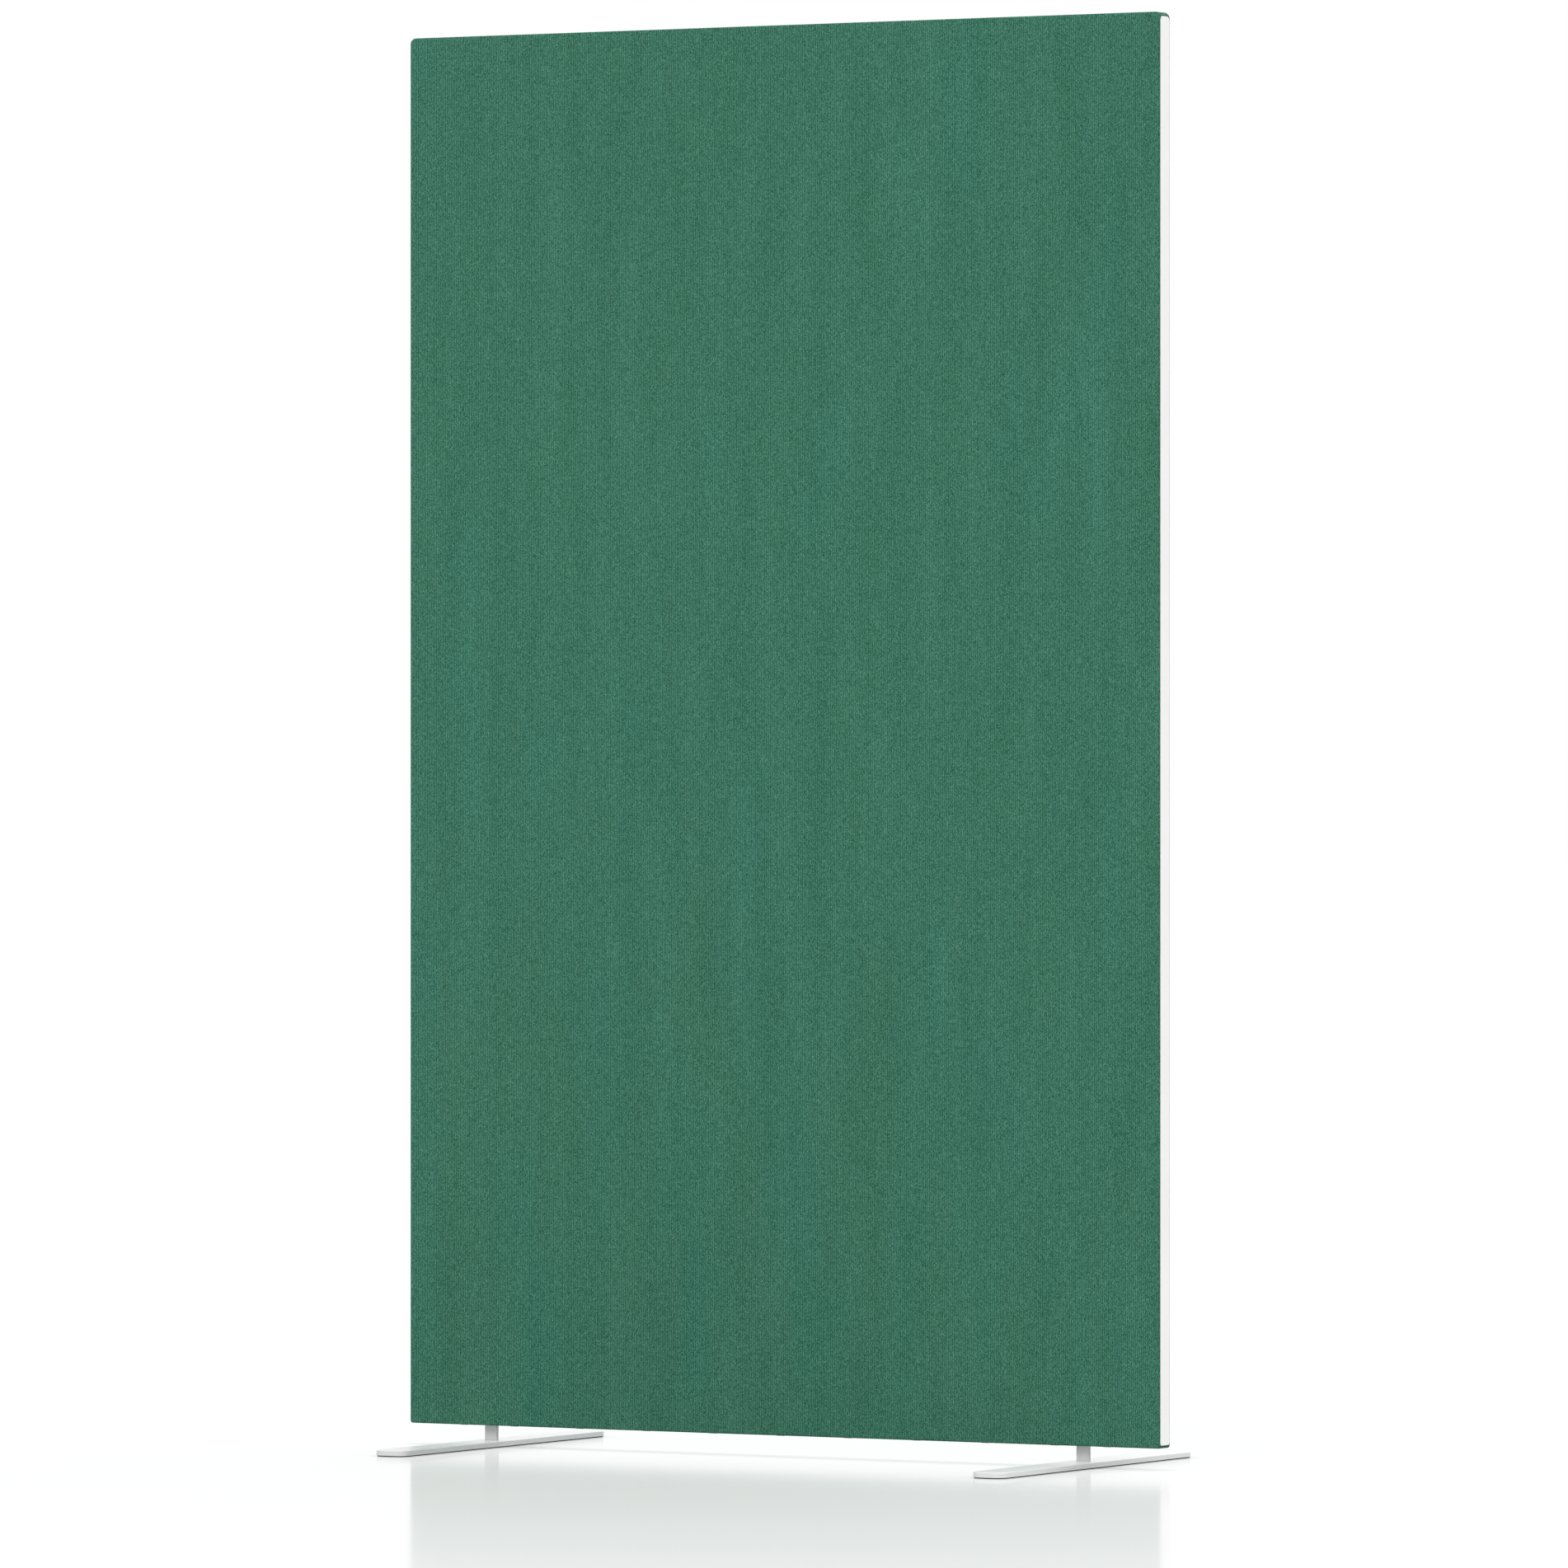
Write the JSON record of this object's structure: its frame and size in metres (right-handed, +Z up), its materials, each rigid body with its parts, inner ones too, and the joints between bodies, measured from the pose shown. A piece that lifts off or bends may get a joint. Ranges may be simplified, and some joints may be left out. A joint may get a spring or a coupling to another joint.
{
  "type": "acoustic divider screen",
  "caption": "Free-standing acoustic screen: slim fabric-covered panel with sound-absorbing core, plastic edge strips, and flat steel feet on short posts.",
  "frame": {"origin": "on the floor, in the middle of the width and of the thickness", "axes": "+Z up; X along the width, +X towards the right edge as seen from the front; the front face looks along -Y"},
  "size_m": [0.998, 0.46, 1.65],
  "materials": {
    "cover_fabric": "matt woven upholstery fabric with fine upright ribs, mid green with lighter flecks",
    "strip_plastic": "satin white",
    "channel_aluminium": "mill finish extrusion",
    "fixing_steel": "zinc plated",
    "frame_wood": "planed softwood, unfinished",
    "dowel_wood": "beech, unfinished",
    "hardboard": "smooth brown hardboard",
    "absorber_felt": "pressed grey polyester felt",
    "socket_steel": "zinc plated",
    "post_steel": "satin light grey powder coat",
    "foot_paint": "satin white powder coat",
    "pad_rubber": "matt black"
  },
  "bodies": {
    "root": {"fabric_cover": "cover_fabric", "right_edge_strip": "strip_plastic", "left_edge_strip": "strip_plastic", "right_edge_channel": "channel_aluminium", "left_edge_channel": "channel_aluminium", "right_channel_screws": "fixing_steel", "left_channel_screws": "fixing_steel", "right_stile": "frame_wood", "left_stile": "frame_wood", "top_rail": "frame_wood", "mid_rail": "frame_wood", "bottom_rail": "frame_wood", "frame_dowels": "dowel_wood", "upper_septum": "hardboard", "lower_septum": "hardboard", "front_upper_absorber": "absorber_felt", "front_lower_absorber": "absorber_felt", "rear_upper_absorber": "absorber_felt", "rear_lower_absorber": "absorber_felt", "hem_staples": "fixing_steel", "right_foot_socket": "socket_steel", "left_foot_socket": "socket_steel", "right_socket_screws": "fixing_steel", "left_socket_screws": "fixing_steel", "right_foot_post": "post_steel", "left_foot_post": "post_steel", "right_foot_plate": "foot_paint", "left_foot_plate": "foot_paint", "right_foot_pad": "pad_rubber", "left_foot_pad": "pad_rubber"}
  },
  "joints": []
}
